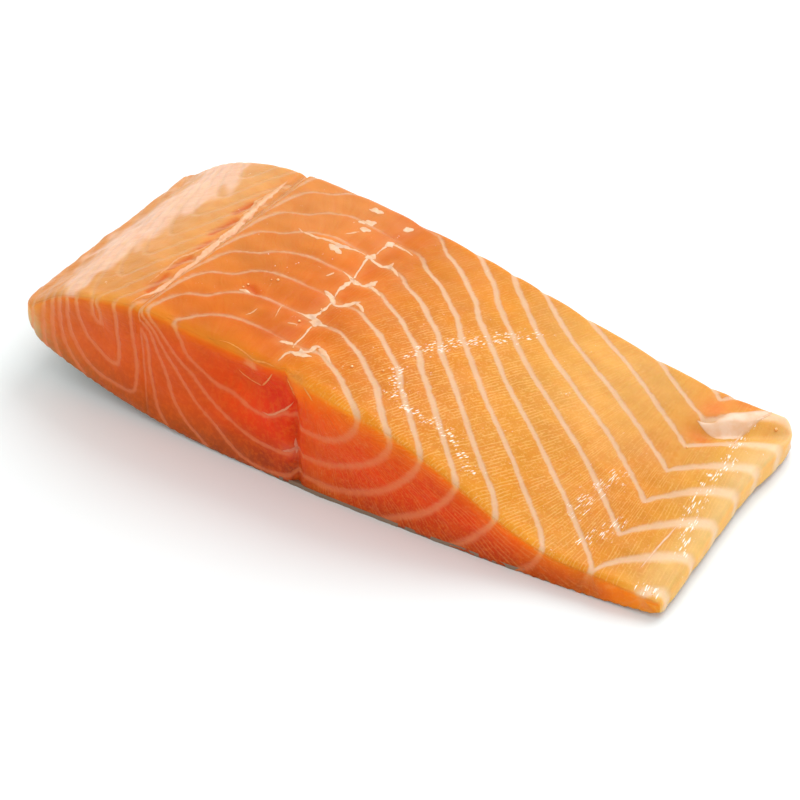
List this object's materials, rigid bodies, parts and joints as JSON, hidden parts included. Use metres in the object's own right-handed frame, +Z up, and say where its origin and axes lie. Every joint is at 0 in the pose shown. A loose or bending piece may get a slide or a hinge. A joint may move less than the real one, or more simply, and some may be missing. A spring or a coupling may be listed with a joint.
{
  "type": "raw salmon fillet",
  "caption": "Raw salmon fillet, a piece cut straight across one side of the fish, lying on its skin, with fine white marbling.",
  "frame": {"origin": "bottom centre of the bounding box, on the floor under the middle of the fillet", "axes": "+X runs across the fish, from its back to its belly; +Y along the fish, away from the front cut; +Z up"},
  "size_m": [0.1658, 0.0704, 0.0327],
  "materials": {
    "flesh": "moist, soft sheen",
    "skin": "silvery grey scales, moist"
  },
  "bodies": {
    "root": {"flesh": "flesh", "skin": "skin"}
  },
  "joints": []
}
